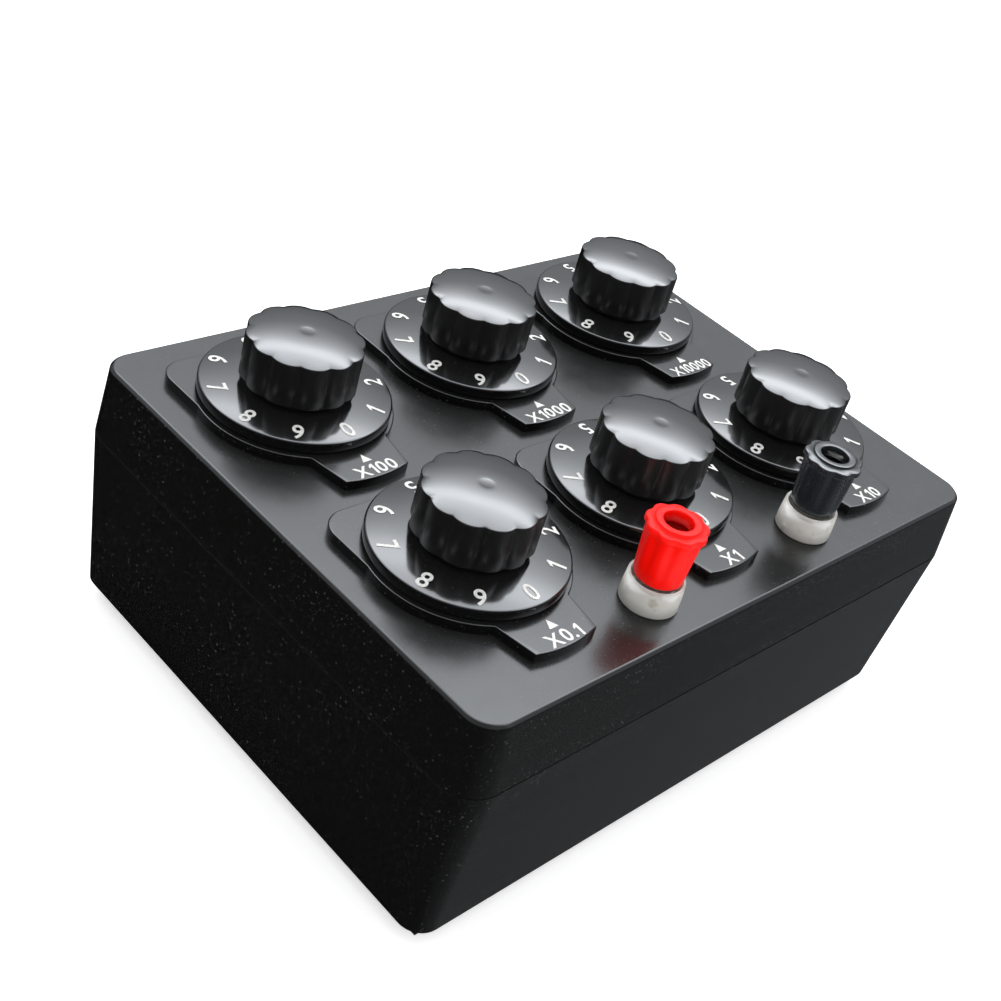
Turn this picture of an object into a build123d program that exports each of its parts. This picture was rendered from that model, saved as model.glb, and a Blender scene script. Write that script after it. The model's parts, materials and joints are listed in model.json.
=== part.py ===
from build123d import *
import os
from math import atan, cos, degrees, radians, sin, sqrt

# Resistance decade box: six switched decades in a two-part moulded case, with two binding posts.
# Frame: the origin is on the table under the middle of the case. X runs along the front edge to
# the right, Y runs from the front to the back, Z points up. All sizes are in millimetres.

# Flats that stand for a circle, where a round form repeats or is hidden
disc_flats = 40
knob_flats = 24
cup_flats = 18
shaft_flats = 12
hole_flats = 8

# Case
seam_length = 159.4
seam_width = 122.8
seam_corner_r = 7.7
inner_corner = 3.4
cover_height = 16.4
cover_flare = 1.5
base_height = 42.0
base_taper = 2.65
wall = 2.5
panel_thick = 3.0
floor_thick = 2.5
top_edge = 0.7
bottom_edge = 2.2
seam_bevel = 0.35
tongue_height = 1.6
tongue_thick = 1.1
tongue_gap = 0.15

# Feet and case screws
foot_height = 2.0
foot_r = 6.0
foot_x = 54.0
foot_y = 38.0
column_x = 70.1
column_y = 51.9
column_side = 9.5
column_web = 6.0
counterbore_r = 3.0
screw_head_r = 2.7
screw_head_height = 2.2
screw_slot_width = 0.8
screw_slot_depth = 1.0
screw_shank_r = 1.45
screw_shank_length = 14.0
screw_clearance = 0.25
thread_clearance = 0.05

# Layout of the six decades on the panel
dial_pitch_x = 49.5
dial_shift_x = -1.1
back_row_y = 30.8
row_pitch = 54.0

# Index plates
plate_thick = 2.1
plate_r = 20.8
plate_side = 20.2
plate_corner_r = 5.5
tab_r = 28.6
tab_root_y = 19.0
tab_root_half = 9.6
tab_end_half = 8.0
window_clearance = 0.3

# Numbered dials and knobs
positions = 10
dial_r = 20.0
dial_gap = 0.6
dial_thick = 3.0
dial_fall = 0.8
dial_flat_r = 11.2
knob_r = 12.3
knob_lobes = 12
knob_lobe_r = 4.3
knob_phase = 2.0
lobe_chords = 3
neck_r = 10.9
neck_height = 1.4
flute_height = 9.7
crown_r = 11.2
crown_top_r = 7.0
crown_rise = 1.3
drive_square = 4.2
drive_clearance = 0.1

# Switch mechanism under the panel
spindle_r = 3.0
spindle_in_knob = 8.0
spindle_below = 1.0
centre_hole_r = 0.8
centre_hole_depth = 1.5
running_clearance = 0.05
bush_r = 4.5
bush_above = 2.3
nut_across_flats = 12.0
nut_height = 2.0
bracket_length = 32.8
bracket_width = 22.0
bracket_thick = 1.2
leg_width = 6.0
deck_drop = 15.4
deck_thick = 1.6
deck_r = 18.2
deck_bore_r = 3.8
star_r = 10.0
star_notch = 1.2
star_thick = 2.0
star_drop = 3.1
stop_rise = 1.2
stop_r = 12.0
stop_inner_r = 5.0
stop_width = 3.0
stop_angle = 90.0
stop_play = 0.7
lug_inner_r = 10.8
lug_thick = 1.2
lug_drop = 2.9
spring_gap = 0.2
spring_thick = 0.4
spring_height = 2.0
spring_half = 11.0
spring_leg = 1.6
contact_inner_r = 9.5
contact_outer_r = 20.5
contact_width = 2.4
contact_thick = 0.4
collector_r = 7.2
collector_bore_r = 4.2
tail_width = 1.6
hub_r = 5.6
hub_height = 3.5
wiper_width = 2.8
wiper_end_gap = 0.6
wiper_thick = 0.8
wiper_gap = 0.05
card_place_r = 19.04
card_half = 5.6
card_height = 12.0
card_thick = 1.2

# Bus strips that join the decades in series
bus_width = 2.0
bus_thick = 0.8
bus_in_r = 19.4
bus_out_r = 19.2
lane_front_near = -47.0
lane_front_far = -50.6
lane_post = -47.6
lane_middle_near = 3.8
lane_middle_far = 7.6
lane_left = -25.85
lane_right = 23.65

# Binding posts
post_pitch = 51.0
post_shift_x = 0.5
post_y = -48.6
collar_foot_r = 6.1
collar_rim_r = 5.7
collar_wall = 0.7
collar_height = 6.0
collar_floor = 1.6
stud_r = 3.5
stud_height = 16.0
stud_tail_r = 2.5
stud_tail_below = 6.0
socket_r = 2.0
socket_depth = 11.0
cross_hole_r = 1.2
cross_hole_height = 3.4
cap_bottom = 6.3
cap_height = 12.3
cap_body_r = 5.6
cap_flange_r = 6.3
cap_flange_height = 1.3
cap_ring_r = 4.5
cap_ring_height = 0.7
cap_hole_r = 3.0
cap_lip = 2.4
cap_lobes = 9
cap_lobe_r = 2.2
washer_r = 4.6
washer_thick = 0.8
tag_thick = 0.5
tag_r = 4.6
tag_length = 9.5
tag_width = 4.0
post_nut_flats = 8.0
post_nut_height = 2.5
hole_clearance = 0.1

# Levels and places worked out from the sizes above
seam_z = foot_height + base_height
panel_z = seam_z + cover_height
under_z = panel_z - panel_thick
dial_z = panel_z + plate_thick + dial_gap
dial_top_z = dial_z + dial_thick
flute_z = dial_top_z + neck_height
rim_z = flute_z + flute_height
spindle_top_z = dial_top_z + spindle_in_knob
bracket_z = under_z - bracket_thick
stop_z = bracket_z - star_drop
star_z = stop_z - star_thick
deck_z = under_z - deck_drop
contact_z = deck_z + contact_thick
wiper_z = contact_z + wiper_gap
spindle_z = deck_z - deck_thick - spindle_below
head_z = seam_z - column_web
cap_z = panel_z + cap_bottom
socket_z = panel_z + stud_height
step = 360 / positions
cover_draft = degrees(atan(cover_flare / cover_height))
base_draft = degrees(atan(base_taper / base_height))
bottom_length = seam_length - 2 * base_taper
bottom_width = seam_width - 2 * base_taper
bottom_corner_r = seam_corner_r - base_taper
contact_angles = [-90 - step * k for k in range(positions)]
tongue_in = wall - tongue_thick
rebate_in = tongue_in - tongue_gap
card_angles = [-90 - step * (k + 0.5) for k in range(positions - 1)]
collector_angle = -90 + step / 2
lug_angle = stop_angle + step / 2
lug_half_angle = step / 2 - stop_play - degrees(atan(stop_width / 2 / lug_inner_r))
lug_width = 2 * lug_inner_r * sin(radians(lug_half_angle))
spring_y = star_r + spring_gap
drive_hole = drive_square + drive_clearance
wiper_length = sqrt((bracket_length / 2 - bracket_thick - wiper_end_gap) ** 2 - (wiper_width / 2) ** 2)
dial_taper = degrees(atan((dial_r - dial_flat_r) / dial_fall))
crown_taper = degrees(atan((crown_r - crown_top_r) / crown_rise))
collar_draft = degrees(atan((collar_foot_r - collar_rim_r) / collar_height))
star_points = [
    (radius * cos(radians(stop_angle + step * turn)), radius * sin(radians(stop_angle + step * turn)))
    for k in range(positions)
    for radius, turn in ((star_r - star_notch, k), (star_r, k + 0.5))
]
columns = [(x, y) for x in (-column_x, column_x) for y in (-column_y, column_y)]
feet = [(x, y) for x in (-foot_x, foot_x) for y in (-foot_y, foot_y)]
left_x, middle_x, right_x = [dial_shift_x + i * dial_pitch_x for i in (-1, 0, 1)]
front_row_y = back_row_y - row_pitch
decades = {
    "x0_1": (left_x, front_row_y),
    "x1": (middle_x, front_row_y),
    "x10": (right_x, front_row_y),
    "x100": (left_x, back_row_y),
    "x1000": (middle_x, back_row_y),
    "x10000": (right_x, back_row_y),
}
posts = {
    "red": (post_shift_x - post_pitch / 2, post_y),
    "black": (post_shift_x + post_pitch / 2, post_y),
}

os.makedirs("parts", exist_ok=True)


def level(z, place=(0, 0)):
    """A horizontal plane at height z with its origin over the given place."""
    return Plane(origin=(place[0], place[1], z))


def upright(x, y):
    """An upright plane through (x, y), facing the front; its local Y is the height."""
    return Plane(origin=(x, y, 0), x_dir=(1, 0, 0), z_dir=(0, -1, 0))


def keep(builder, name):
    """Labels a finished piece and writes it to its own file."""
    builder.part.label = name
    export_step(builder.part, f"parts/{name}.step")


def hexagon(across_flats):
    """A hexagon in the current sketch, given by its size across the flats."""
    RegularPolygon(across_flats / 2, 6, major_radius=False, rotation=30)


def disc(radius, flats):
    """A round in the current sketch, drawn with flats that the given radius touches."""
    RegularPolygon(radius, flats, major_radius=False)


def bore(radius, bottom, top, places, flats=0):
    """Cuts an upright hole at each place in the current part, round or with flats."""
    with BuildSketch(level(bottom)) as holes:
        with Locations(*places):
            if flats:
                disc(radius, flats)
            else:
                Circle(radius)
    extrude(holes.sketch, amount=top - bottom, mode=Mode.SUBTRACT)


def lobed(tip_r, lobe_r, lobes, phase):
    """Points round an outline of convex lobes, each drawn with the same few chords."""
    centre_r = tip_r - lobe_r
    points = []
    for k in range(lobes * lobe_chords):
        swing = radians((k % lobe_chords) / lobe_chords - 0.5) * 360 / lobes
        reach = centre_r * cos(swing) + sqrt(lobe_r**2 - (centre_r * sin(swing)) ** 2)
        turn = radians(phase + 360 / lobes * (k // lobe_chords)) + swing
        points.append((reach * cos(turn), reach * sin(turn)))
    return points


# Upper cover: panel and flared walls, open below, with a rebate for the tongue of the base
with BuildPart() as cover:
    with BuildSketch(level(seam_z)):
        RectangleRounded(seam_length, seam_width, seam_corner_r)
    extrude(amount=cover_height, taper=cover_draft)
    chamfer(cover.faces().sort_by(Axis.Z)[-1].edges(), top_edge)
    chamfer(cover.faces().sort_by(Axis.Z)[0].edges(), seam_bevel)
    with BuildSketch(level(seam_z)) as inside:
        Rectangle(seam_length - 2 * wall, seam_width - 2 * wall)
        chamfer(inside.vertices(), inner_corner)
    extrude(amount=cover_height - panel_thick, taper=cover_draft, mode=Mode.SUBTRACT)
    with BuildSketch(level(seam_z)) as rebate:
        Rectangle(seam_length - 2 * rebate_in, seam_width - 2 * rebate_in)
        chamfer(rebate.vertices(), inner_corner)
    extrude(amount=tongue_height + tongue_gap, mode=Mode.SUBTRACT)
    with BuildSketch(level(seam_z)):
        with Locations(*columns):
            Rectangle(column_side, column_side)
    extrude(amount=cover_height - panel_thick)
    bore(screw_shank_r + thread_clearance, seam_z, head_z + screw_shank_length + 1, columns, hole_flats)
    bore(bush_r + hole_clearance, under_z, panel_z, decades.values(), hole_flats)
    bore(stud_tail_r + hole_clearance, under_z, panel_z, posts.values(), hole_flats)
keep(cover, "upper_cover")

# Lower base: tapered tray with a tongue at the seam and counterbored columns
with BuildPart() as base:
    with BuildSketch(level(foot_height)):
        RectangleRounded(bottom_length, bottom_width, bottom_corner_r)
    extrude(amount=base_height, taper=-base_draft)
    chamfer(base.faces().sort_by(Axis.Z)[0].edges(), bottom_edge)
    with BuildSketch(level(foot_height + floor_thick)) as inside:
        Rectangle(bottom_length - 2 * wall, bottom_width - 2 * wall)
        chamfer(inside.vertices(), inner_corner - 1)
    extrude(amount=base_height - floor_thick, taper=-base_draft, mode=Mode.SUBTRACT)
    with BuildSketch(level(seam_z)) as tongue:
        Rectangle(seam_length - 2 * tongue_in, seam_width - 2 * tongue_in)
        chamfer(tongue.vertices(), inner_corner)
        with BuildSketch(mode=Mode.SUBTRACT) as tongue_inside:
            Rectangle(seam_length - 2 * wall, seam_width - 2 * wall)
            chamfer(tongue_inside.vertices(), inner_corner)
    extrude(amount=tongue_height)
    with BuildSketch(level(foot_height)):
        with Locations(*columns):
            Rectangle(column_side, column_side)
    extrude(amount=base_height)
    bore(counterbore_r, foot_height, head_z, columns, hole_flats)
    bore(screw_shank_r + screw_clearance, foot_height, seam_z, columns, hole_flats)
keep(base, "lower_base")

# Four long-reach screws, driven up through the base columns into the cover
with BuildPart() as case_screws:
    with BuildSketch(level(head_z - screw_head_height)):
        with Locations(*columns):
            RegularPolygon(screw_head_r, hole_flats)
    extrude(amount=screw_head_height)
    with BuildSketch(level(head_z)):
        with Locations(*columns):
            RegularPolygon(screw_shank_r, hole_flats)
    extrude(amount=screw_shank_length)
    with BuildSketch(level(head_z - screw_head_height)):
        with Locations(*columns):
            Rectangle(2 * screw_head_r + 1, screw_slot_width)
    extrude(amount=screw_slot_depth, mode=Mode.SUBTRACT)
keep(case_screws, "case_screws")

# Four rubber feet glued to the underside
with BuildPart() as rubber_feet:
    with BuildSketch():
        with Locations(*feet):
            RegularPolygon(foot_r, shaft_flats)
    extrude(amount=foot_height)
keep(rubber_feet, "rubber_feet")

# Index plates: a disc with one rounded square corner, a label tab, and a window round the nut
tab_end_y = sqrt(tab_r**2 - tab_end_half**2)
for name, place in decades.items():
    with BuildPart() as index_plate:
        with BuildSketch(level(panel_z, place)) as outline:
            Rectangle(plate_side, plate_side, align=(Align.MAX, Align.MIN))
            fillet(outline.vertices().sort_by(Axis((0, 0, 0), (-1, 1, 0)))[-1], plate_corner_r)
            RegularPolygon(plate_r, disc_flats)
            with BuildLine():
                Polyline(
                    (-tab_end_half, -tab_end_y),
                    (-tab_root_half, -tab_root_y),
                    (tab_root_half, -tab_root_y),
                    (tab_end_half, -tab_end_y),
                )
                ThreePointArc((-tab_end_half, -tab_end_y), (0, -tab_r), (tab_end_half, -tab_end_y))
            make_face()
            window = nut_across_flats / 2 + window_clearance
            RegularPolygon(window, 6, major_radius=False, rotation=30, mode=Mode.SUBTRACT)
        extrude(amount=plate_thick)
    keep(index_plate, f"index_plate_{name}")

# Numbered dials: discs that fall a little from the knob to the rim, keyed on the square spindle
for name, place in decades.items():
    with BuildPart() as dial:
        with BuildSketch(level(dial_z, place)):
            RegularPolygon(dial_r, disc_flats)
        extrude(amount=dial_thick - dial_fall)
        with BuildSketch(level(dial_top_z - dial_fall, place)):
            RegularPolygon(dial_r, disc_flats)
        extrude(amount=dial_fall, taper=dial_taper)
        with BuildSketch(level(dial_z, place)):
            Rectangle(drive_hole, drive_hole)
        extrude(amount=dial_thick, mode=Mode.SUBTRACT)
    keep(dial, f"dial_{name}")

# Knobs: twelve soft lobes over a round neck, closed by a shallow crown, with a square socket
for name, place in decades.items():
    with BuildPart() as knob:
        with BuildSketch(level(dial_top_z, place)):
            RegularPolygon(neck_r, shaft_flats)
        extrude(amount=neck_height)
        with BuildSketch(level(flute_z, place)):
            Polygon(*lobed(knob_r, knob_lobe_r, knob_lobes, knob_phase), align=None)
        extrude(amount=flute_height)
        with BuildSketch(level(rim_z, place)):
            RegularPolygon(crown_r, knob_flats)
        extrude(amount=crown_rise, taper=crown_taper)
        with BuildSketch(level(dial_top_z, place)):
            Rectangle(drive_hole, drive_hole)
        extrude(amount=spindle_in_knob + dial_gap, mode=Mode.SUBTRACT)
    keep(knob, f"knob_{name}")

# Spindles: steel, square at both ends and centre-drilled, with the detent star and the stop arm
for name, place in decades.items():
    with BuildPart() as spindle:
        with BuildSketch(level(spindle_z, place)):
            Rectangle(drive_square, drive_square)
        extrude(amount=spindle_top_z - spindle_z)
        with BuildSketch(level(stop_z, place)):
            RegularPolygon(spindle_r, shaft_flats)
        extrude(amount=dial_z - stop_z)
        with BuildSketch(level(star_z, place)):
            Polygon(*star_points, align=None)
        extrude(amount=star_thick)
        with BuildSketch(level(stop_z, place)):
            with PolarLocations(0, 1, start_angle=stop_angle):
                Rectangle(stop_r, stop_width, align=(Align.MIN, Align.CENTER))
        extrude(amount=stop_rise)
        bore(centre_hole_r, spindle_z, spindle_z + centre_hole_depth, [place])
    keep(spindle, f"spindle_{name}")

# Wipers: an insulating hub on the spindle and one contact arm, which points to the front at 0
for name, place in decades.items():
    with BuildPart() as wiper:
        with BuildSketch(level(wiper_z, place)):
            RegularPolygon(hub_r, hole_flats)
        extrude(amount=hub_height)
        with BuildSketch(level(wiper_z, place)):
            Rectangle(wiper_width, wiper_length, align=(Align.CENTER, Align.MAX))
        extrude(amount=wiper_thick)
        with BuildSketch(level(wiper_z, place)):
            Rectangle(drive_hole, drive_hole)
        extrude(amount=hub_height, mode=Mode.SUBTRACT)
    keep(wiper, f"wiper_{name}")

# Switch frames: bracket with two legs, threaded bush and the lug that stops the spindle
with BuildPart() as switch_frames:
    for place in decades.values():
        with BuildSketch(level(bracket_z, place)):
            Rectangle(bracket_length, bracket_width)
        extrude(amount=bracket_thick)
        with BuildSketch(level(deck_z, place)):
            with GridLocations(bracket_length - bracket_thick, 0, 2, 1):
                Rectangle(bracket_thick, leg_width)
        extrude(amount=bracket_z - deck_z)
        with BuildSketch(level(bracket_z - lug_drop, place)):
            with PolarLocations(lug_inner_r, 1, start_angle=lug_angle):
                Rectangle(lug_thick, lug_width, align=(Align.MIN, Align.CENTER))
        extrude(amount=lug_drop)
        with BuildSketch(level(under_z, place)):
            RegularPolygon(bush_r, hole_flats)
        extrude(amount=panel_z + bush_above - under_z)
    bore(spindle_r + running_clearance, bracket_z, panel_z + bush_above, decades.values(), shaft_flats)
keep(switch_frames, "switch_frames")

# Hexagon nuts that clamp the bushes to the panel
with BuildPart() as switch_nuts:
    with BuildSketch(level(panel_z)):
        with Locations(*decades.values()):
            hexagon(nut_across_flats)
    extrude(amount=nut_height)
    bore(bush_r + thread_clearance, panel_z, panel_z + nut_height, decades.values(), hole_flats)
keep(switch_nuts, "switch_nuts")

# Detent leaf springs, hung from the brackets beside the stars
with BuildPart() as detent_springs:
    for x, y in decades.values():
        with BuildSketch(upright(x, y + spring_y + spring_thick)):
            spring_z = stop_z - 0.1 - spring_height
            with Locations((0, spring_z)):
                Rectangle(2 * spring_half, bracket_z - spring_z, align=(Align.CENTER, Align.MIN))
            with Locations((0, spring_z + spring_height)):
                Rectangle(
                    2 * (spring_half - spring_leg),
                    bracket_z,
                    align=(Align.CENTER, Align.MIN),
                    mode=Mode.SUBTRACT,
                )
        extrude(amount=spring_thick)
keep(detent_springs, "detent_springs")

# Switch decks: insulating boards on the legs of the frames
with BuildPart() as switch_decks:
    for place in decades.values():
        with BuildSketch(level(deck_z - deck_thick, place)):
            RegularPolygon(deck_r, positions, rotation=step / 2 - 90)
            RegularPolygon(deck_bore_r, hole_flats, mode=Mode.SUBTRACT)
        extrude(amount=deck_thick)
keep(switch_decks, "switch_decks")

# Fixed contacts of every deck, and the collector ring with its tail
with BuildPart() as contacts:
    for place in decades.values():
        with BuildSketch(level(deck_z, place)):
            for angle in contact_angles:
                with PolarLocations(contact_inner_r, 1, start_angle=angle):
                    Rectangle(
                        contact_outer_r - contact_inner_r,
                        contact_width,
                        align=(Align.MIN, Align.CENTER),
                    )
            RegularPolygon(collector_r, hole_flats)
            with PolarLocations(collector_bore_r, 1, start_angle=collector_angle):
                Rectangle(
                    contact_outer_r - collector_bore_r, tail_width, align=(Align.MIN, Align.CENTER)
                )
            RegularPolygon(collector_bore_r, hole_flats, mode=Mode.SUBTRACT)
        extrude(amount=contact_thick)
keep(contacts, "contacts")

# Wound resistor cards, nine under each deck, each below the gap of two neighbouring contacts
with BuildPart() as resistor_cards:
    for x, y in decades.values():
        for angle in card_angles:
            outward = Vector(cos(radians(angle)), sin(radians(angle)), 0)
            face_centre = Vector(x, y, 0) + outward * (card_place_r - card_thick / 2)
            with BuildSketch(Plane(face_centre, x_dir=(-outward.Y, outward.X, 0), z_dir=outward)):
                with Locations((0, deck_z)):
                    Rectangle(2 * card_half, card_height, align=(Align.CENTER, Align.MAX))
            extrude(amount=card_thick)
keep(resistor_cards, "resistor_cards")


def terminal(name, radius, angle):
    """The place on the outer end of a contact of the named decade."""
    x, y = decades[name]
    return (x + radius * cos(radians(angle)), y + radius * sin(radians(angle)))


def entry(name):
    return terminal(name, bus_in_r, contact_angles[0])


def leave(name):
    return terminal(name, bus_out_r, collector_angle)


def strip(points):
    """A flat bus strip with square bends, lying on the contacts."""
    with BuildSketch(level(contact_z)) as outline:
        with BuildLine():
            Polyline(*points)
        trace(line_width=bus_width)
    extrude(outline.sketch, amount=bus_thick)


def riser(x, y):
    """An upright end of a strip, which reaches up to a solder tag."""
    with BuildSketch(level(contact_z, (x, y))) as foot:
        Rectangle(bus_width, bus_width)
    extrude(foot.sketch, amount=tag_z - contact_z)


# Bus strips in series: red post, x0_1, x100, x1000, x10000, x10, x1, black post
tag_z = under_z - tag_thick
with BuildPart() as bus_strips:
    riser_in_x = posts["red"][0] - tag_length + bus_width / 2
    start = entry("x0_1")
    strip([(riser_in_x, lane_front_far), (start[0], lane_front_far), start])
    riser(riser_in_x, lane_front_far)

    start, end = leave("x0_1"), entry("x100")
    strip(
        [
            start,
            (start[0], lane_front_near),
            (lane_left, lane_front_near),
            (lane_left, lane_middle_near),
            (end[0], lane_middle_near),
            end,
        ]
    )
    for name, next_name in (("x100", "x1000"), ("x1000", "x10000")):
        start, end = leave(name), entry(next_name)
        strip([start, (start[0], lane_middle_far), (end[0], lane_middle_far), end])

    start, end = leave("x10000"), entry("x10")
    strip(
        [
            start,
            (start[0], lane_middle_near),
            (lane_right, lane_middle_near),
            (lane_right, lane_front_near),
            (end[0], lane_front_near),
            end,
        ]
    )
    start, end = leave("x10"), entry("x1")
    strip([start, (start[0], lane_front_far), (end[0], lane_front_far), end])

    riser_out_x = posts["black"][0] - tag_length + bus_width / 2
    start = leave("x1")
    strip([start, (start[0], lane_post), (riser_out_x, lane_post)])
    riser(riser_out_x, lane_post)
keep(bus_strips, "bus_strips")

# Clear collars: tapered cups that stand on the panel round the foot of each post
with BuildPart() as post_collars:
    for place in posts.values():
        with BuildSketch(level(panel_z, place)):
            RegularPolygon(collar_foot_r, cup_flats)
        extrude(amount=collar_height, taper=collar_draft)
        with BuildSketch(level(panel_z + collar_floor, place)):
            RegularPolygon(collar_foot_r - collar_wall, cup_flats)
        extrude(amount=collar_height - collar_floor, taper=collar_draft, mode=Mode.SUBTRACT)
    bore(stud_tail_r + hole_clearance, panel_z, panel_z + collar_floor, posts.values(), hole_flats)
keep(post_collars, "post_collars")

# Post studs: shouldered, with the plug socket from the top and a cross hole for a bare wire
with BuildPart() as post_studs:
    with BuildSketch(level(under_z - stud_tail_below)):
        with Locations(*posts.values()):
            RegularPolygon(stud_tail_r, hole_flats)
    extrude(amount=stud_tail_below + panel_thick + collar_floor)
    with BuildSketch(level(panel_z + collar_floor)):
        with Locations(*posts.values()):
            RegularPolygon(stud_r, cup_flats)
    extrude(amount=stud_height - collar_floor)
    bore(socket_r, socket_z - socket_depth, socket_z, posts.values())
    with BuildSketch(Plane(origin=(0, post_y + 2 * stud_r, 0), x_dir=(1, 0, 0), z_dir=(0, -1, 0))):
        with Locations(*[(x, panel_z + cross_hole_height) for x, y in posts.values()]):
            RegularPolygon(cross_hole_r, hole_flats)
    extrude(amount=4 * stud_r, mode=Mode.SUBTRACT)
keep(post_studs, "post_studs")

# Solder tags and nuts that hold the studs from below
with BuildPart() as post_tags:
    with BuildSketch(level(tag_z)):
        for place in posts.values():
            with Locations(place):
                RegularPolygon(tag_r, hole_flats)
                Rectangle(tag_length, tag_width, align=(Align.MAX, Align.CENTER))
    extrude(amount=tag_thick)
    bore(stud_tail_r + hole_clearance, tag_z, under_z, posts.values(), hole_flats)
keep(post_tags, "post_tags")

with BuildPart() as post_nuts:
    with BuildSketch(level(tag_z - post_nut_height)):
        with Locations(*posts.values()):
            hexagon(post_nut_flats)
    extrude(amount=post_nut_height)
    bore(stud_tail_r + thread_clearance, tag_z - post_nut_height, tag_z, posts.values(), hole_flats)
keep(post_nuts, "post_nuts")

# Clamp washers: keyed, so they rise with the cap but do not turn
for name, place in posts.items():
    with BuildPart() as clamp_washer:
        with BuildSketch(level(cap_z - washer_thick, place)):
            RegularPolygon(washer_r, cup_flats)
            RegularPolygon(
                stud_r + running_clearance, cup_flats, major_radius=False, mode=Mode.SUBTRACT
            )
        extrude(amount=washer_thick)
    keep(clamp_washer, f"{name}_clamp_washer")

# Post caps: nine lobes, a wider wavy flange, and a raised ring round the plug hole
for name, place in posts.items():
    with BuildPart() as post_cap:
        with BuildSketch(level(cap_z, place)):
            Polygon(*lobed(cap_body_r, cap_lobe_r, cap_lobes, 0), align=None)
        extrude(amount=cap_height)
        with BuildSketch(level(cap_z + cap_height - cap_flange_height, place)):
            Polygon(*lobed(cap_flange_r, cap_lobe_r, cap_lobes, 0), align=None)
        extrude(amount=cap_flange_height)
        with BuildSketch(level(cap_z + cap_height, place)):
            RegularPolygon(cap_ring_r, cup_flats)
        extrude(amount=cap_ring_height)
        bore(stud_r + running_clearance, cap_z, cap_z + cap_height + cap_ring_height - cap_lip, [place])
        bore(cap_hole_r, cap_z, cap_z + cap_height + cap_ring_height, [place], shaft_flats)
    keep(post_cap, f"{name}_cap")
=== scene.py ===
import json
from math import atan2, cos, pi, radians, sin, sqrt

import bmesh
import bpy
from mathutils import Euler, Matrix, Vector

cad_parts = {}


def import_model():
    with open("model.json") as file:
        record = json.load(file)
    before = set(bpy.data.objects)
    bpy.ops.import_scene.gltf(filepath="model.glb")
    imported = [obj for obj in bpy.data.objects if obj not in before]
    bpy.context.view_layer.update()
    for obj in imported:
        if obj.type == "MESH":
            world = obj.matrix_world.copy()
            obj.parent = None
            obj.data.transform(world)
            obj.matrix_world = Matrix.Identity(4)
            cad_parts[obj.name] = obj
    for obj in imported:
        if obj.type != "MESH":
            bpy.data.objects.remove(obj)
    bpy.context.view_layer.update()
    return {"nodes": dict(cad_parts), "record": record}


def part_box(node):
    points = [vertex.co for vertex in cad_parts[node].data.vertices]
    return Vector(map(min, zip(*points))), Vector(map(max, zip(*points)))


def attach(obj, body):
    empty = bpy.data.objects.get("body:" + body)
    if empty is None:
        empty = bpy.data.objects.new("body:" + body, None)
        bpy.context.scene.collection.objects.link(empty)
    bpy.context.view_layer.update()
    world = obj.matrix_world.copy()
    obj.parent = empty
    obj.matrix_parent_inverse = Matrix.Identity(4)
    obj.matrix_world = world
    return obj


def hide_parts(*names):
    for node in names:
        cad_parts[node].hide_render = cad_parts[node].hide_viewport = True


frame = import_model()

MM = 0.001
NODES = frame["nodes"]
DECADES = {"x0_1": "X0.1", "x1": "X1", "x10": "X10", "x100": "X100", "x1000": "X1000", "x10000": "X10000"}
POSTS = ("red", "black")

# Camera, solved from the panel's edges and the dial circles
CAMERA_PLACE = (-0.230324, -0.161089, 0.233037)
CAMERA_TURN = (53.9472, -14.2482, -43.1724)
CAMERA_LENS = 54.493

# How finely round pieces are turned
ROUND_STEPS = 192
CAP_STEPS = 144
DOME_STEPS = 14

# What the gloss sees, as shares of the brightest value: by height (the sine of the elevation),
# by how far a direction points away from the camera, and the glow of the ground at the right
AWAY = 35
GROUND = -45
GLOSS_PEAK = 12
GLOSS_TINT = (0.96, 1.0, 1.05, 1)
HEIGHT_STOPS = (
    (0.0, 0.03), (0.2, 0.05), (0.42, 0.09), (0.515, 0.16), (0.588, 0.27), (0.643, 0.42), (0.695, 0.72),
    (0.743, 0.8), (0.79, 0.65), (0.9, 0.55), (0.95, 0.6), (1.0, 0.6),
)
SIDE_STOPS = ((0.0, 0.03), (0.4, 0.12), (0.52, 0.7), (0.7, 0.9), (0.85, 1.0))
GROUND_STOPS = ((0.0, 0.0002), (0.5, 0.001), (0.75, 0.009), (1.0, 0.015))

# Marks on the dials and plates: where they stand from the dial's centre, and their sizes
DIGIT_RADIUS = 16.8 * MM
DIGIT_SIZE = 5.6 * MM
DIGIT_STRETCH = (0.92, 1)
LABEL_RADIUS = 26.3 * MM
LABEL_SIZE = 4.4 * MM
LABEL_WIDEST = 13.2 * MM
LABEL_SHIFT = 0.4 * MM
MARK_RADIUS = 22.7 * MM
MARK_SIDE = 1.15 * MM
MARK_SHIFT = 0.3 * MM
MARK_THICK = 0.05 * MM
STROKE = 0.07 * MM
LETTER_GAP = 0.1

# Two figures that the plain font lacks or blots, as outlines in shares of the letter size
FIGURES = {
    "1": [
        [(-0.065, 0), (0.065, 0), (0.065, 0.71), (-0.04, 0.71), (-0.2, 0.55), (-0.2, 0.44), (-0.065, 0.53)],
    ],
    "4": [
        [(0.3, 0), (0.42, 0), (0.42, 0.16), (0.52, 0.16), (0.52, 0.27), (0.42, 0.27)]
        + [(0.42, 0.71), (0.29, 0.71), (0.0, 0.27), (0.0, 0.16), (0.3, 0.16)],
        [(0.3, 0.27), (0.3, 0.54), (0.13, 0.27)],
    ],
}

# The index plate: a disc, one square corner, and a tab that holds the multiplier
PLATE_R = 20.8 * MM
PLATE_SIDE = 20.2 * MM
PLATE_CORNER = 5.5 * MM
PLATE_EDGE = 0.3 * MM
TAB_R = 28.6 * MM
TAB_ROOT = 9.6 * MM
TAB_END = 8.0 * MM
WINDOW = 6.3 * MM / cos(pi / 6)

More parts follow.
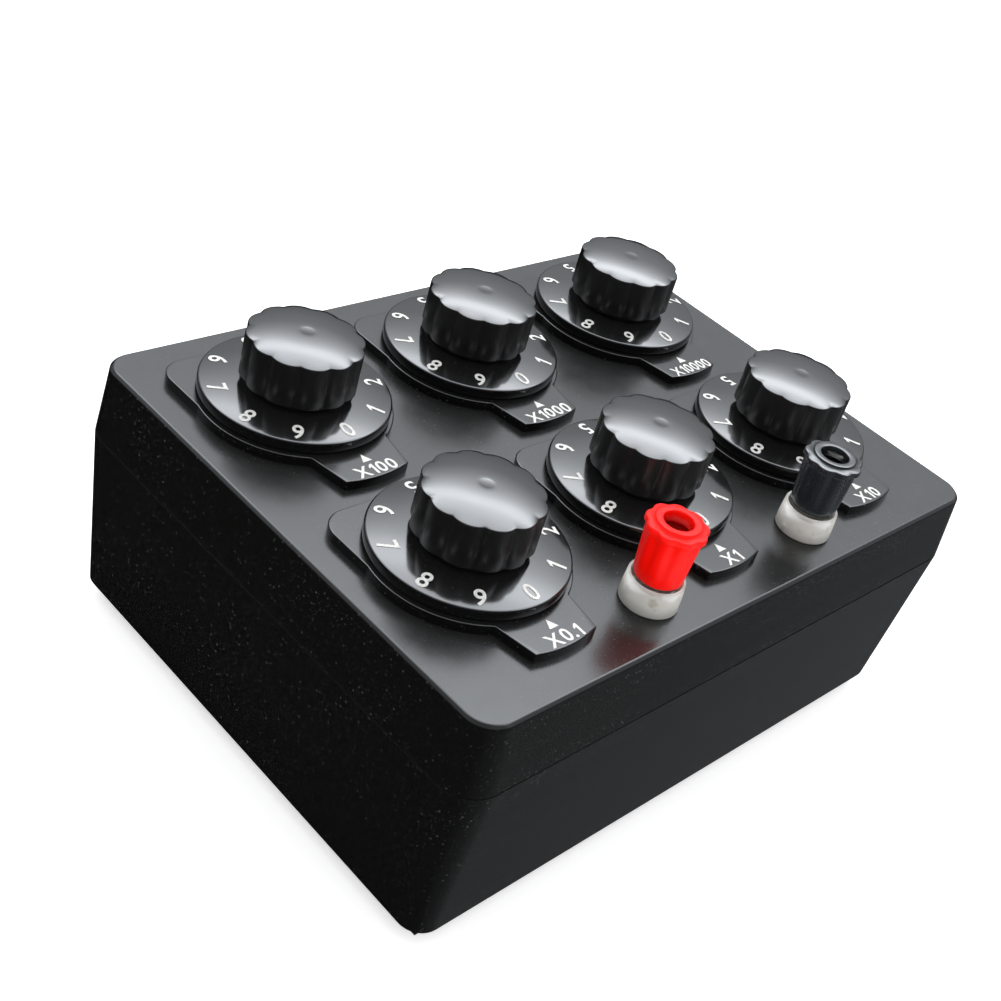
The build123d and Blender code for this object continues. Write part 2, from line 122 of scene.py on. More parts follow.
# The disc's top falls a little from the knob to the rim
DIAL_BORE = 3.05 * MM
DIAL_FLAT = 11.2 * MM
DIAL_FALL = 0.8 * MM
DIAL_EDGE = 0.55 * MM
DIAL_UNDER_EDGE = 0.3 * MM

# The knob: a round neck, lobes, and a dome that carries the lobes only at its rim
KNOB_LOBES = 12
KNOB_LOBE_R = 4.6 * MM
KNOB_TWIST = radians(2)
KNOB_NECK_R = 10.7 * MM
KNOB_NECK = 0.7 * MM
KNOB_SKIRT = 1.3 * MM
KNOB_CROWN = 1.75 * MM
KNOB_RIM = 0.45 * MM
KNOB_FADE = 0.88
KNOB_DOME_POWER = 2.4
GATE_R = 1.5 * MM
GATE_DEPTH = 0.05 * MM

# The post cap: flutes that deepen upward, a wavy flange, and a ring round the plug hole
CAP_FLUTES = 9
CAP_FLUTE = 0.48 * MM
CAP_FLUTE_RISE = 6 * MM
CAP_ROUND_R = 4.7 * MM
CAP_RING = 0.7 * MM
CAP_FLANGE = 1.5 * MM
CAP_FLANGE_R = 5.9 * MM
CAP_BORE = 3.6 * MM
CAP_HOLE = 3.0 * MM

# The clear collar: a cup with a floor that the post passes through
COLLAR_BORE = 2.6 * MM
COLLAR_R = 5.7 * MM
COLLAR_FLOOR = 1.6 * MM

# Rounded edges of the case
COVER_EDGE = 0.6 * MM
BASE_EDGE = 0.3 * MM
EDGE_ANGLE = radians(25)


def centre(node):
    lo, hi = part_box(node)
    return Vector(((lo[0] + hi[0]) / 2, (lo[1] + hi[1]) / 2, 0))


def low(node):
    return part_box(node)[0][2]


def high(node):
    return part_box(node)[1][2]


# ---- materials


def add_ramp(tree, fac, stops):
    """A ramp of grey values over (place, value) stops."""
    node = tree.nodes.new("ShaderNodeValToRGB")
    elements = node.color_ramp.elements
    for place, value in stops[2:]:
        elements.new(place)
    for element, (place, value) in zip(elements, stops):
        element.position = place
    for element, (place, value) in zip(elements, stops):
        element.color = (value, value, value, 1)
    tree.links.new(fac, node.inputs["Fac"])
    return node.outputs["Color"]


def add_math(tree, kind, *values):
    """A math node over numbers and sockets."""
    node = tree.nodes.new("ShaderNodeMath")
    node.operation = kind
    for socket, value in zip(node.inputs, values):
        if isinstance(value, (int, float)):
            socket.default_value = value
        else:
            tree.links.new(value, socket)
    return node.outputs["Value"]


class Shader:
    """A node material with one Principled shader and small helpers."""

    def __init__(self, name, colour, rough, **sockets):
        self.material = bpy.data.materials.new(name)
        self.material.use_nodes = True
        self.tree = self.material.node_tree
        self.nodes = self.tree.nodes
        self.bsdf = self.nodes["Principled BSDF"]
        self.bsdf.inputs["Base Color"].default_value = (*colour, 1)
        self.bsdf.inputs["Roughness"].default_value = rough
        for key, value in sockets.items():
            self.bsdf.inputs[key.replace("_", " ")].default_value = value
        self.coords = self.nodes.new("ShaderNodeTexCoord").outputs["Object"]
        self.height = None

    def link(self, a, b):
        self.tree.links.new(a, b)

    def texture(self, kind, scale, stretch=(1, 1, 1)):
        """A texture node laid over the piece's own coordinates."""
        mapping = self.nodes.new("ShaderNodeMapping")
        mapping.inputs["Scale"].default_value = stretch
        self.link(self.coords, mapping.inputs["Vector"])
        node = self.nodes.new(kind)
        node.inputs["Scale"].default_value = scale
        self.link(mapping.outputs["Vector"], node.inputs["Vector"])
        return node

    def noise(self, scale, detail=4, rough=0.6, stretch=(1, 1, 1)):
        node = self.texture("ShaderNodeTexNoise", scale, stretch)
        node.inputs["Detail"].default_value = detail
        node.inputs["Roughness"].default_value = rough
        return node.outputs["Fac"]

    def specks(self, scale, size):
        """Small round dots in less than half of the texture's cells."""
        node = self.texture("ShaderNodeTexVoronoi", scale)
        near = self.ramp(node.outputs["Distance"], (0, 1), (size, 0))
        rare = self.ramp(node.outputs["Color"], (0.55, 0), (0.62, 1))
        return self.math("MULTIPLY", near, rare)

    def ramp(self, fac, *stops):
        return add_ramp(self.tree, fac, stops)

    def math(self, kind, *values):
        return add_math(self.tree, kind, *values)

    def upward(self):
        """1 on faces that look straight up, 0 on the sides."""
        normal = self.nodes.new("ShaderNodeSeparateXYZ")
        self.link(self.nodes.new("ShaderNodeNewGeometry").outputs["Normal"], normal.inputs["Vector"])
        return self.ramp(normal.outputs["Z"], (0.6, 0), (0.9, 1))

    def colour(self, fac, dark, light):
        node = self.nodes.new("ShaderNodeMix")
        node.data_type = "RGBA"
        node.inputs[6].default_value = (*dark, 1)
        node.inputs[7].default_value = (*light, 1)
        self.link(fac, node.inputs["Factor"])
        self.link(node.outputs[2], self.bsdf.inputs["Base Color"])

    def rough(self, fac, least, most):
        node = self.nodes.new("ShaderNodeMapRange")
        node.inputs["To Min"].default_value = least
        node.inputs["To Max"].default_value = most
        self.link(fac, node.inputs["Value"])
        self.link(node.outputs["Result"], self.bsdf.inputs["Roughness"])

    def bump(self, height, strength, distance):
        node = self.nodes.new("ShaderNodeBump")
        node.inputs["Strength"].default_value = strength
        node.inputs["Distance"].default_value = distance
        self.link(height, node.inputs["Height"])
        if self.height:
            self.link(self.height, node.inputs["Normal"])
        self.height = node.outputs["Normal"]
        self.link(self.height, self.bsdf.inputs["Normal"])


def moulded(name, colour, rough, dust, top_sheen_and_dust=0.0, top=None, side=None, waviness=0.15, shine=0.5):
    """Polished moulded plastic with dust, hairline scratches and slightly uneven gloss. The faces
    that look up get a painted sheen, a lighter grey that also stands for a thin film of dust; top and side
    are their own roughness where it differs."""
    s = Shader(name, colour, rough, Specular_IOR_Level=shine)
    top, side = top or rough, side or rough
    up = s.upward()
    wide = s.noise(35, 3)
    dirt = s.math("MAXIMUM", s.specks(900, 0.24), s.math("MULTIPLY", s.specks(1900, 0.3), 0.6))
    dirt = s.math("MULTIPLY", dirt, s.ramp(wide, (0.35, 0.25), (0.7, 1)))
    scratches = s.ramp(s.noise(420, 2, 0.5, (0.05, 1, 1)), (0.66, 0), (0.7, 1))
    scratches = s.math("MULTIPLY", s.math("MULTIPLY", scratches, up), dust * 0.06)
    marks = s.math("MAXIMUM", s.math("MULTIPLY", dirt, dust), scratches)
    # Painted sheen: faces that look up are mixed toward a light grey, lighter than the sides, on top of the
    # dust specks and scratches
    s.colour(s.math("MAXIMUM", marks, s.math("MULTIPLY", up, top_sheen_and_dust)), colour, SHEEN_AND_DUST_GREY)
    uneven = s.math("ADD", 0.75, s.math("MULTIPLY", s.noise(180, 5), 0.5))
    smooth = s.math("ADD", side, s.math("MULTIPLY", up, top - side))
    s.link(s.math("MULTIPLY", smooth, uneven), s.bsdf.inputs["Roughness"])
    s.bump(wide, waviness, 0.15 * MM)
    return s.material


def metal(name, colour, rough):
    """Plated or turned metal with fine tool marks and light tarnish."""
    s = Shader(name, colour, rough, Metallic=1.0)
    lines = s.noise(300, 4, 0.6, (1, 1, 0.1))
    s.colour(s.ramp(s.noise(90), (0.35, 0), (0.7, 1)), tuple(c * 0.72 for c in colour), colour)
    s.rough(lines, rough * 0.7, rough * 1.6)
    s.bump(lines, 0.25, 0.02 * MM)
    return s.material


def plain(name, colour, rough, scale):
    """Matt board, rubber or lacquer with a fine grain."""
    s = Shader(name, colour, rough)
    grain = s.noise(scale, 6)
    s.colour(s.ramp(grain, (0.3, 0), (0.7, 1)), tuple(c * 0.65 for c in colour), colour)
    s.rough(grain, rough * 0.8, min(1, rough * 1.2))
    s.bump(grain, 0.3, 0.05 * MM)
    return s.material


def clear(name):
    """Clear moulded plastic with flow lines, and dim patches of painted shade that stand for the metal seen
    inside.
    """
    s = Shader(name, CLEAR, 0.05, Transmission_Weight=0.55, IOR=1.49)
    flow = s.noise(220, 3, 0.5, (1, 1, 0.3))
    # Painted shade: random dim patches in place of the metal seen through the cup
    s.colour(s.ramp(s.noise(330, 2, 0.5), (0.55, 0), (0.75, 1)), CLEAR, CLEAR_PAINTED_SHADE)
    s.rough(flow, 0.03, 0.10)
    s.bump(flow, 0.3, 0.08 * MM)
    return s.material


CASE_BLACK = (0.0035, 0.0037, 0.0034)
PLATE_BLACK = (0.0035, 0.0035, 0.0037)
KNOB_BLACK = (0.003, 0.003, 0.0033)
CAP_BLACK = (0.014, 0.017, 0.020)
CAP_RED = (1.0, 0.003, 0.0)
# The light grey of the dust specks, also used for the painted sheen on faces that look up
SHEEN_AND_DUST_GREY = (0.3, 0.31, 0.31)
# The clear plastic, and the dim colour of the painted shade in it
CLEAR, CLEAR_PAINTED_SHADE = (1.0, 0.98, 0.93), (0.6, 0.55, 0.42)

# The top amounts paint a lighter sheen on the faces that look up, partly standing for dust
MATERIALS = {
    "case_plastic": moulded("case black", CASE_BLACK, 0.15, 0.32, top_sheen_and_dust=0.035, top=0.23, shine=0.36),
    "plate_plastic": moulded("plate black", PLATE_BLACK, 0.10, 0.3, top_sheen_and_dust=0.03, top=0.18, shine=0.42),
    "dial_plastic": moulded("dial black", KNOB_BLACK, 0.12, 0.15, top_sheen_and_dust=0.02, shine=0.6),
    "knob_plastic": moulded("knob black", KNOB_BLACK, 0.14, 0.1, side=0.36, waviness=0.08, shine=0.85),
    "cap_red": moulded("cap red", CAP_RED, 0.36, 0.0, waviness=0.05, shine=0.2),
    "cap_black": moulded("cap black", CAP_BLACK, 0.2, 0.1, waviness=0.05, shine=0.8),
    "collar_clear": clear("collar clear"),
    "foot_rubber": plain("foot rubber", (0.018, 0.018, 0.018), 0.8, 700),
    "deck_board": plain("deck board", (0.17, 0.075, 0.03), 0.5, 500),
    "card_lacquer": plain("card lacquer", (0.06, 0.13, 0.06), 0.35, 600),
}
METALS = {
    "screw_steel": ((0.52, 0.52, 0.53), 0.32),
    "spindle_steel": ((0.55, 0.55, 0.56), 0.25),
    "bracket_steel": ((0.6, 0.6, 0.6), 0.3),
    "spring_steel": ((0.45, 0.46, 0.5), 0.28),
    "nut_nickel": ((0.68, 0.67, 0.64), 0.22),
    "post_nickel": ((0.74, 0.72, 0.68), 0.16),
    "washer_nickel": ((0.72, 0.70, 0.66), 0.2),
    "tag_tin": ((0.62, 0.62, 0.6), 0.35),
    "post_nut_brass": ((0.72, 0.53, 0.24), 0.28),
    "contact_silver": ((0.76, 0.74, 0.7), 0.25),
    "wiper_metal": ((0.7, 0.52, 0.32), 0.3),
    "bus_copper": ((0.74, 0.42, 0.28), 0.3),
}
for slot, (colour, rough) in METALS.items():
    MATERIALS[slot] = metal(slot.replace("_", " "), colour, rough)


def ink():
    """White paint pressed into the figures, a little uneven."""
    s = Shader("white filling", (0.82, 0.82, 0.80), 0.45)
    grain = s.noise(1500, 5)
    s.colour(s.ramp(grain, (0.3, 0), (0.6, 1)), (0.6, 0.6, 0.58), (0.85, 0.85, 0.83))
    s.bump(grain, 0.2, 0.02 * MM)
    return s.material


INK = ink()

# ---- pieces


def piece(name, mesh, slot, body, replaced=(), material=None, smooth=True):
    """Adds a finished piece that rides on a CAD body."""
    mesh.materials.append(material or MATERIALS[slot])
    obj = bpy.data.objects.new(name, mesh)
    bpy.context.scene.collection.objects.link(obj)
    for polygon in mesh.polygons:
        polygon.use_smooth = smooth
    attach(obj, body)
    if replaced:
        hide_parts(*replaced)
    return obj


def even_normals(obj):
    """Keeps flat faces flat beside rounded edges."""
    even = obj.modifiers.new("even", "WEIGHTED_NORMAL")
    even.weight = 50
    return even


def soften(obj, width, segments):
    """Rounds the hard edges of a CAD node without changing its mesh."""
    weld = obj.modifiers.new("weld", "WELD")
    weld.merge_threshold = 0.002 * MM
    flat = obj.modifiers.new("flat", "DECIMATE")
    flat.decimate_type = "DISSOLVE"
    flat.angle_limit = radians(0.4)
    bevel = obj.modifiers.new("edges", "BEVEL")
    bevel.width = width
    bevel.segments = segments
    bevel.limit_method = "ANGLE"
    bevel.angle_limit = EDGE_ANGLE
    bevel.use_clamp_overlap = True
    even_normals(obj)


def walls(bm, lower, upper):
    """A band of faces between two rings of as many points."""
    for k in range(len(lower)):
        n = (k + 1) % len(lower)
        bm.faces.new((lower[k], lower[n], upper[n], upper[k]))


def fill(bm, *rings):
    """The flat face between an outline and its holes."""
    edges = [bm.edges.get((vert, ring[(k + 1) % len(ring)])) for ring in rings for k, vert in enumerate(ring)]
    bmesh.ops.triangle_fill(bm, edges=edges, use_beauty=True)


def finished(bm, name):
    """The mesh, with every face looking outward."""
    bmesh.ops.recalc_face_normals(bm, faces=bm.faces)
    mesh = bpy.data.meshes.new(name)
    bm.to_mesh(mesh)
    bm.free()
    return mesh


def lathe(profile, origin, steps=96, radius_at=None, closed=False):
    """Turns a list of (radius, height) about an upright axis; radius_at reshapes each ring."""
    bm = bmesh.new()
    rings = []
    for r, z in profile:
        if r == 0:
            rings.append([bm.verts.new(origin + Vector((0, 0, z)))])
            continue
        ring = []
        for k in range(steps):
            a = 2 * pi * k / steps
            reach = radius_at(r, z, a) if radius_at else r
            ring.append(bm.verts.new(origin + Vector((reach * cos(a), reach * sin(a), z))))
        rings.append(ring)
    pairs = list(zip(rings, rings[1:])) + ([(rings[-1], rings[0])] if closed else [])
    for a, b in pairs:
        if len(a) > 1 and len(b) > 1:
            walls(bm, a, b)
            continue
        for k in range(steps):
            n = (k + 1) % steps
            bm.faces.new((a[0], b[n], b[k]) if len(a) == 1 else (a[k], a[n], b[0]))
    return finished(bm, "lathe")


def arc(cx, cz, r, start, end, steps):
    """Points on an arc of a profile, angles in degrees from the outward direction."""
    angles = [radians(start + (end - start) * k / steps) for k in range(steps + 1)]
    return [(cx + r * cos(a), cz + r * sin(a)) for a in angles]


def text_mesh(words, size, thick):
    """Lettering in Blender's own plain font with a heavier stroke, as a thin mesh."""
    curve = bpy.data.curves.new("words", "FONT")
    curve.body = words
    curve.size = size
    curve.align_x = "CENTER"
    curve.align_y = "CENTER"
    curve.extrude = thick / 2
    curve.offset = STROKE
    curve.resolution_u = 6
    obj = bpy.data.objects.new("words", curve)
    bpy.context.scene.collection.objects.link(obj)
    mesh = bpy.data.meshes.new_from_object(obj.evaluated_get(bpy.context.evaluated_depsgraph_get()))
    bpy.data.objects.remove(obj)
    mesh.materials.clear()
    return mesh


def figure(outlines, size, thick):
    """A flat figure from its outer outline and its holes, in shares of the letter size."""
    bm = bmesh.new()
    levels = [
        [[bm.verts.new((x * size, y * size, z)) for x, y in outline] for outline in outlines]
        for z in (-thick / 2, thick / 2)
    ]
    for lower, upper in zip(*levels):
        walls(bm, lower, upper)
    for rings in levels:
        fill(bm, *rings)
    return finished(bm, "figure")


def lettering(words, size):
    """A line of figures, set one by one with even gaps."""
    meshes = []
    place = 0
    for letter in words:
        if letter in FIGURES:
            mesh = figure(FIGURES[letter], size, MARK_THICK)
        else:
            mesh = text_mesh(letter, size, MARK_THICK)
        left = min(v.co.x for v in mesh.vertices)
        right = max(v.co.x for v in mesh.vertices)
        foot = min(v.co.y for v in mesh.vertices)
        for v in mesh.vertices:
            v.co.x += place - left
            v.co.y -= foot
        meshes.append(mesh)
        place += right - left + LETTER_GAP * size
    return joined(meshes)


def placed(mesh, at, turn, stretch=(1, 1)):
    """Turns a flat mesh about Z and moves it to its place."""
    lows = [min(v.co[i] for v in mesh.vertices) for i in (0, 1)]
    highs = [max(v.co[i] for v in mesh.vertices) for i in (0, 1)]
    middle = Vector(((lows[0] + highs[0]) / 2, (lows[1] + highs[1]) / 2, 0))
    for v in mesh.vertices:
        p = v.co - middle
        x, y = p.x * stretch[0], p.y * stretch[1]
        v.co = Vector((x * cos(turn) - y * sin(turn), x * sin(turn) + y * cos(turn), p.z)) + at
    return mesh


def joined(meshes):
    """Several meshes as one."""
    bm = bmesh.new()
    for mesh in meshes:
        bm.from_mesh(mesh)
    whole = bpy.data.meshes.new("joined")
    bm.to_mesh(whole)
    bm.free()
    return whole


def radius(node):
    lo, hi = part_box(node)
    return (hi[0] - lo[0]) / 2


def dial(name):
    """The numbered disc, with a rounded edge, and its ten figures filled in white."""
    node = f"dial_{name}"
    c, base, top, outer = centre(node), low(node), high(node), radius(node)
    rim_top = top - DIAL_FALL
    slope = DIAL_FALL / (outer - DIAL_FLAT)
    profile = [(DIAL_BORE, base)]
    profile += arc(outer - DIAL_UNDER_EDGE, base + DIAL_UNDER_EDGE, DIAL_UNDER_EDGE, -90, 0, 3)
    profile += arc(outer - DIAL_EDGE, rim_top - DIAL_EDGE, DIAL_EDGE, 0, 82, 6)
    profile += [(DIAL_FLAT, top), (DIAL_BORE, top)]
    mesh = lathe(profile, c, ROUND_STEPS, closed=True)
    piece(f"dial_disc_{name}", mesh, "dial_plastic", f"selector_{name}", (node,))
    figures = []
    digit_z = top - (DIGIT_RADIUS - DIAL_FLAT) * slope + MARK_THICK / 2
    for digit in range(10):
        a = radians(-90 + 36 * digit)
        at = c + Vector((DIGIT_RADIUS * cos(a), DIGIT_RADIUS * sin(a), digit_z))
        flat = placed(lettering(str(digit), DIGIT_SIZE), at, a + pi / 2, DIGIT_STRETCH)
        for v in flat.vertices:
            v.co.z -= ((v.co - c).xy.length - DIGIT_RADIUS) * slope
        figures.append(flat)
    piece(f"figures_{name}", joined(figures), "dial_plastic", f"selector_{name}", material=INK, smooth=False)


def knob(name):
    """The knob: twelve soft lobes over a round neck, and a smooth dome with a small gate mark."""
    node = f"knob_{name}"
    c, base, top, outer = centre(node), low(node), high(node), radius(node)
    lobe_low, rim = base + KNOB_SKIRT, top - KNOB_CROWN
    neck_top = base + KNOB_NECK
    half_lobe = pi / KNOB_LOBES

    def reach(r, z, a):
        """The lobes grow out of the neck and fade again just inside the dome's rim."""
        swing = (a - KNOB_TWIST + half_lobe) % (2 * half_lobe) - half_lobe
        d = outer - KNOB_LOBE_R
        lobe = d * cos(swing) + sqrt(KNOB_LOBE_R**2 - (d * sin(swing)) ** 2)
        fade = 1
        if z < lobe_low:
            fade = max(0, (z - neck_top) / (lobe_low - neck_top))
        elif z > rim:
            fade = max(0, (r / outer - KNOB_FADE) / (1 - KNOB_FADE))
        return r + (lobe / outer - 1) * r * fade

    profile = [(0, base), (KNOB_NECK_R, base), (KNOB_NECK_R, neck_top)]
    profile += [(KNOB_NECK_R + 0.4 * MM, lobe_low - 0.2 * MM), (outer - 0.25 * MM, lobe_low)]
    profile += [(outer, lobe_low + 0.3 * MM), (outer, (lobe_low + rim) / 2)]
    profile += arc(outer - KNOB_RIM, rim - 0.1 * MM, KNOB_RIM, 0, 70, 6)
    edge_r, edge_z = profile[-1]
    for k in range(1, DOME_STEPS):
        r = edge_r * (1 - k / DOME_STEPS)
        if r > GATE_R:
            profile.append((r, edge_z + (top - edge_z) * (1 - (r / edge_r) ** KNOB_DOME_POWER)))
    profile += [(GATE_R - 0.1 * MM, top - 0.03 * MM)]
    profile += [(GATE_R - 0.25 * MM, top - GATE_DEPTH), (0, top - GATE_DEPTH)]
    mesh = lathe(profile, c, ROUND_STEPS, reach)
    piece(f"knob_body_{name}", mesh, "knob_plastic", f"selector_{name}", (node,))


def plate_outline():
    """The edge of an index plate about its dial's centre, anticlockwise from the right."""
    end = -sqrt(TAB_R**2 - TAB_END**2)
    meet_y = -sqrt(PLATE_R**2 - TAB_ROOT**2) + 0.1 * MM
    corner = (PLATE_CORNER - PLATE_SIDE, PLATE_SIDE - PLATE_CORNER)
    flat = sqrt(PLATE_R**2 - PLATE_SIDE**2)
    top_start, left_end = atan2(PLATE_SIDE, -flat), atan2(flat, -PLATE_SIDE)
    points = []

    def sweep(middle, r, start, stop, steps):
        for k in range(steps + 1):
            a = start + (stop - start) * k / steps
            points.append((middle[0] + r * cos(a), middle[1] + r * sin(a)))

    sweep((0, 0), PLATE_R, atan2(meet_y, TAB_ROOT), top_start, 64)
    sweep(corner, PLATE_CORNER, pi / 2, pi, 10)
    sweep((0, 0), PLATE_R, left_end, 2 * pi + atan2(meet_y, -TAB_ROOT), 36)
    tab = atan2(end, TAB_END)
    sweep((0, 0), TAB_R, -pi - tab, tab, 12)
    return points


def inset(outline, amount):
    """The outline moved inward by an amount, at right angles to itself."""
    ring = []
    for k, (x, y) in enumerate(outline):
        before, after = Vector(outline[k - 1]), Vector(outline[(k + 1) % len(outline)])
        way = (after - before).normalized()
        ring.append((x - way.y * amount, y + way.x * amount))
    return ring


def plate(name):
    """The index plate with a softened upper edge and its six-sided window."""
    node = f"index_plate_{name}"
    c, base, top = centre(f"dial_{name}"), low(node), high(node)
    outline = plate_outline()
    hexagon = [(WINDOW * cos(k * pi / 3), WINDOW * sin(k * pi / 3)) for k in range(6)]
    levels = [(0, base)]
    for a in (radians(0), radians(30), radians(60), radians(90)):
        levels.append((PLATE_EDGE * (1 - cos(a)), top - PLATE_EDGE * (1 - sin(a))))
    bm = bmesh.new()

    def ring(points, z):
        return [bm.verts.new(c + Vector((x, y, z))) for x, y in points]

    rings = [ring(inset(outline, amount), z) for amount, z in levels]
    for lower, upper in zip(rings, rings[1:]):
        walls(bm, lower, upper)
    window = [ring(hexagon, z) for z in (base, top)]
    walls(bm, *window)
    fill(bm, rings[0], window[0])
    fill(bm, rings[-1], window[1])
    bmesh.ops.recalc_face_normals(bm, faces=bm.faces)
    for edge in bm.edges:
        if len(edge.link_faces) == 2 and edge.calc_face_angle() > radians(50):
            edge.smooth = False
    obj = piece(f"plate_{name}", finished(bm, "plate"), "plate_plastic", "case", (node,))
    even_normals(obj).keep_sharp = True


def label(name, words):
    """The mark and the multiplier on the tab of an index plate."""
    c = centre(f"dial_{name}")
    top = high(f"index_plate_{name}") + MARK_THICK / 2
    text = lettering(words, LABEL_SIZE)
    width = max(v.co.x for v in text.vertices) - min(v.co.x for v in text.vertices)
    squeeze = min(1, LABEL_WIDEST / width)
    text = placed(text, c + Vector((LABEL_SHIFT, -LABEL_RADIUS, top)), 0, (squeeze, 1))
    mark = figure([[(0, 1), (-1, -1), (1, -1)]], MARK_SIDE, MARK_THICK)
    mark = placed(mark, c + Vector((MARK_SHIFT, -MARK_RADIUS, top)), 0)
    piece(f"label_{name}", joined([text, mark]), "plate_plastic", "case", material=INK, smooth=False)


def post_cap(colour):
    """A fluted cap with a wavy flange and a raised ring round the plug hole."""
    node = f"{colour}_cap"
    c, base, top = centre(node), low(node), high(node)
    body_top = top - CAP_RING
    flange_low = body_top - CAP_FLANGE

    def reach(r, z, a):
        """Flutes that start at nothing at the foot; the ring and the bore stay round."""
        if r < CAP_ROUND_R:
            return r
        deep = CAP_FLUTE * min(1, (z - base) / CAP_FLUTE_RISE)
        return r - deep * (0.5 - 0.5 * cos(CAP_FLUTES * a)) ** 1.5

    profile = [(CAP_BORE, base), (4.75 * MM, base), (5.0 * MM, base + 0.25 * MM)]
    profile += [(5.2 * MM, base + 3 * MM), (5.5 * MM, base + 7 * MM), (5.75 * MM, flange_low - 0.4 * MM)]
    profile += [(5.95 * MM, flange_low)]
    profile += arc(CAP_FLANGE_R, flange_low + 0.45 * MM, 0.38 * MM, -60, 0, 3)
    profile += arc(CAP_FLANGE_R, body_top - 0.4 * MM, 0.4 * MM, 0, 90, 4)
    profile += [(4.65 * MM, body_top)]
    profile += arc(4.3 * MM, top - 0.2 * MM, 0.2 * MM, 0, 90, 3)
    profile += arc(CAP_HOLE + 0.3 * MM, top - 0.3 * MM, 0.3 * MM, 90, 180, 3)
    profile += [(CAP_HOLE, top - 2.4 * MM), (CAP_BORE, top - 2.45 * MM)]
    mesh = lathe(profile, c, CAP_STEPS, reach, closed=True)
    piece(f"{colour}_cap_body", mesh, f"cap_{colour}", f"{colour}_screw", (node,))


def collars():
    """Two clear cups with rounded rims, the wall of each a closed ring."""
    node = "post_collars"
    base, top = low(node), high(node)
    profile = [(COLLAR_BORE, base), (COLLAR_R, base)]
    profile += arc(COLLAR_R, base + 0.4 * MM, 0.4 * MM, -90, 0, 3)
    profile += [(COLLAR_R + 0.05 * MM, top - 0.3 * MM)]
    profile += arc(COLLAR_R - 0.35 * MM, top - 0.35 * MM, 0.35 * MM, 0, 180, 5)
    profile += [(COLLAR_R - 0.5 * MM, base + COLLAR_FLOOR + 0.4 * MM)]
    profile += [(COLLAR_R - 0.8 * MM, base + COLLAR_FLOOR), (COLLAR_BORE, base + COLLAR_FLOOR)]
    cups = [lathe(profile, centre(f"{colour}_cap"), closed=True) for colour in POSTS]
    piece("post_collar_cups", joined(cups), "collar_clear", "case", (node,))


def dress_nodes():
    """Every CAD node gets its slot's material, and the case's edges are rounded."""
    for entry in frame["record"]["subparts"]:
        obj = NODES[entry["node"]]
        obj.data.materials.clear()
        obj.data.materials.append(MATERIALS[entry["material_slot"]])
    soften(NODES["upper_cover"], COVER_EDGE, 4)
    soften(NODES["lower_base"], BASE_EDGE, 3)


dress_nodes()
for decade, words in DECADES.items():
    dial(decade)
    knob(decade)
    plate(decade)
    label(decade, words)
for colour in POSTS:
    post_cap(colour)
collars()

# ---- floor, light and camera


def floor():
    """A pale floor that glows a little, so that the shadow stays faint."""
    bpy.ops.mesh.primitive_plane_add(size=12, location=(0, 0, -0.0002))
    obj = bpy.context.object
    obj.name = "floor"
    s = Shader("floor", (0.93, 0.93, 0.93), 0.7)
    s.bump(s.noise(60, 3), 0.05, 0.2 * MM)
    obj.data.materials.append(s.material)
    s.bsdf.inputs["Emission Color"].default_value = (1, 1, 1, 1)
    s.bsdf.inputs["Emission Strength"].default_value = 0.5
    obj.visible_glossy = False


def area(name, place, aim, size, power):
    """A wide lamp that the gloss doesn't see."""
    light = bpy.data.lights.new(name, "AREA")
    light.shape = "RECTANGLE"
    light.size, light.size_y = size
    light.energy = power
    light.spread = pi
    obj = bpy.data.objects.new(name, light)
    obj.location = place
    obj.rotation_euler = (Vector(aim) - Vector(place)).to_track_quat("-Z", "Y").to_euler()
    obj.visible_glossy = False
    bpy.context.scene.collection.objects.link(obj)


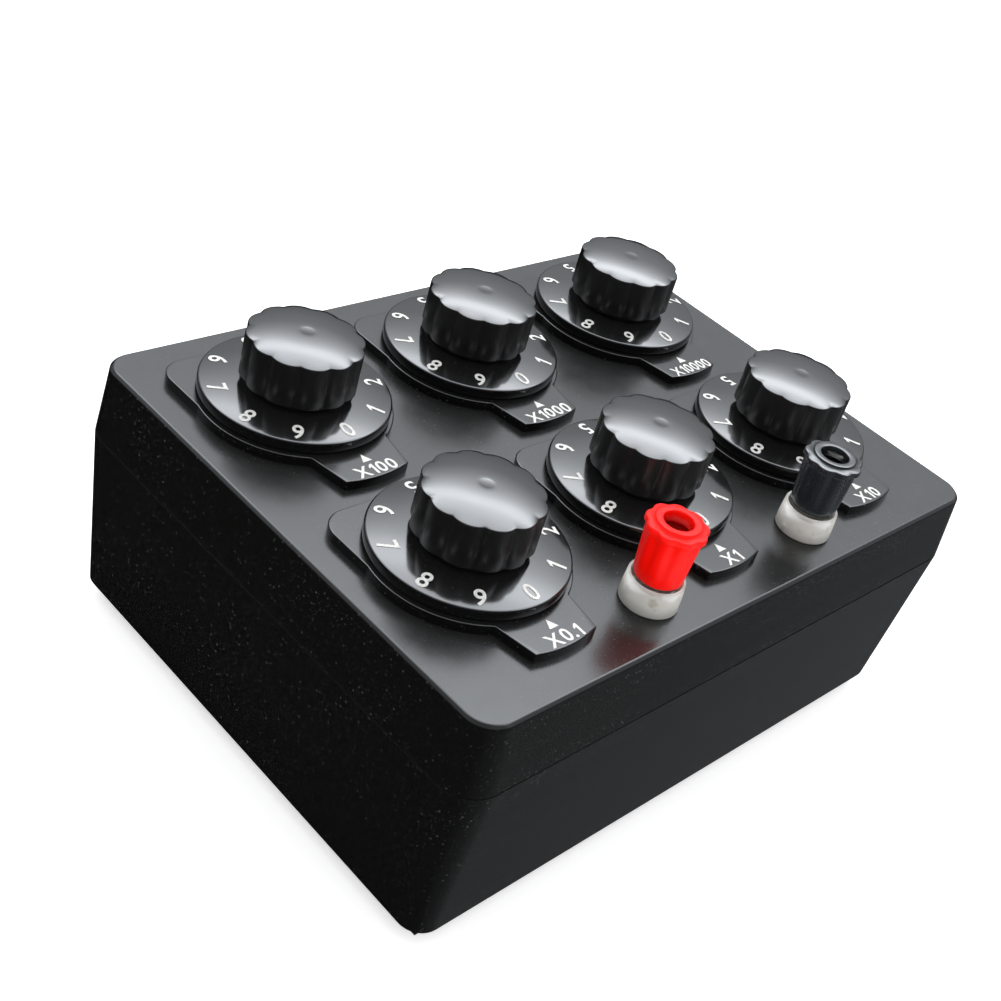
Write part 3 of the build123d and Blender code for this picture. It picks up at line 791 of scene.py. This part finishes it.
def world():
    """Even white light on the object, and a soft gradient that only the gloss sees: brightest
    high up on the far side, grey at eye level, dark below and behind the camera."""
    w = bpy.data.worlds.new("studio")
    bpy.context.scene.world = w
    w.use_nodes = True
    tree = w.node_tree
    plain_light = tree.nodes["Background"]
    plain_light.inputs["Color"].default_value = (1, 1, 1, 1)
    plain_light.inputs["Strength"].default_value = 1.0
    direction = tree.nodes.new("ShaderNodeTexCoord").outputs["Generated"]

    def along(vector, scale=1, shift=0):
        """How far the direction points along a vector, scaled and shifted for a ramp."""
        dot = tree.nodes.new("ShaderNodeVectorMath")
        dot.operation = "DOT_PRODUCT"
        dot.inputs[1].default_value = vector
        tree.links.new(direction, dot.inputs[0])
        return add_math(tree, "MULTIPLY_ADD", dot.outputs["Value"], scale, shift)

    def sideways(angle, stops):
        """A ramp from behind (0) to ahead (1) along a level direction."""
        level = (cos(radians(angle)), sin(radians(angle)), 0)
        return add_ramp(tree, along(level, 0.5, 0.5), stops)

    above = add_ramp(tree, along((0, 0, 1)), HEIGHT_STOPS)
    above = add_math(tree, "MULTIPLY", above, sideways(AWAY, SIDE_STOPS))
    above = add_math(tree, "MULTIPLY", above, add_ramp(tree, along((0, 0, 1)), ((0.0, 0), (0.03, 1))))
    below = add_ramp(tree, along((0, 0, -1)), ((0.0, 0), (0.06, 1)))
    below = add_math(tree, "MULTIPLY", below, sideways(GROUND, GROUND_STOPS))
    tint = tree.nodes.new("ShaderNodeMix")
    tint.data_type = "RGBA"
    tint.blend_type = "MULTIPLY"
    tint.inputs["Factor"].default_value = 1
    tint.inputs[7].default_value = GLOSS_TINT
    tree.links.new(add_math(tree, "ADD", above, below), tint.inputs[6])
    gloss = tree.nodes.new("ShaderNodeBackground")
    gloss.inputs["Strength"].default_value = GLOSS_PEAK
    tree.links.new(tint.outputs[2], gloss.inputs["Color"])
    mix = tree.nodes.new("ShaderNodeMixShader")
    rays = tree.nodes.new("ShaderNodeLightPath")
    tree.links.new(rays.outputs["Is Glossy Ray"], mix.inputs["Fac"])
    tree.links.new(plain_light.outputs[0], mix.inputs[1])
    tree.links.new(gloss.outputs[0], mix.inputs[2])
    tree.links.new(mix.outputs[0], tree.nodes["World Output"].inputs["Surface"])


def camera():
    data = bpy.data.cameras.new("camera")
    data.lens = CAMERA_LENS
    data.sensor_width = 36
    data.clip_start = 0.01
    obj = bpy.data.objects.new("camera", data)
    obj.location = CAMERA_PLACE
    obj.rotation_euler = Euler([radians(a) for a in CAMERA_TURN])
    bpy.context.scene.collection.objects.link(obj)
    bpy.context.scene.camera = obj


floor()
area("key", (0.5, 0.5, 0.7), (0, 0, 0.05), (0.6, 0.4), 6)
world()
camera()
bpy.context.scene.view_settings.view_transform = "Standard"
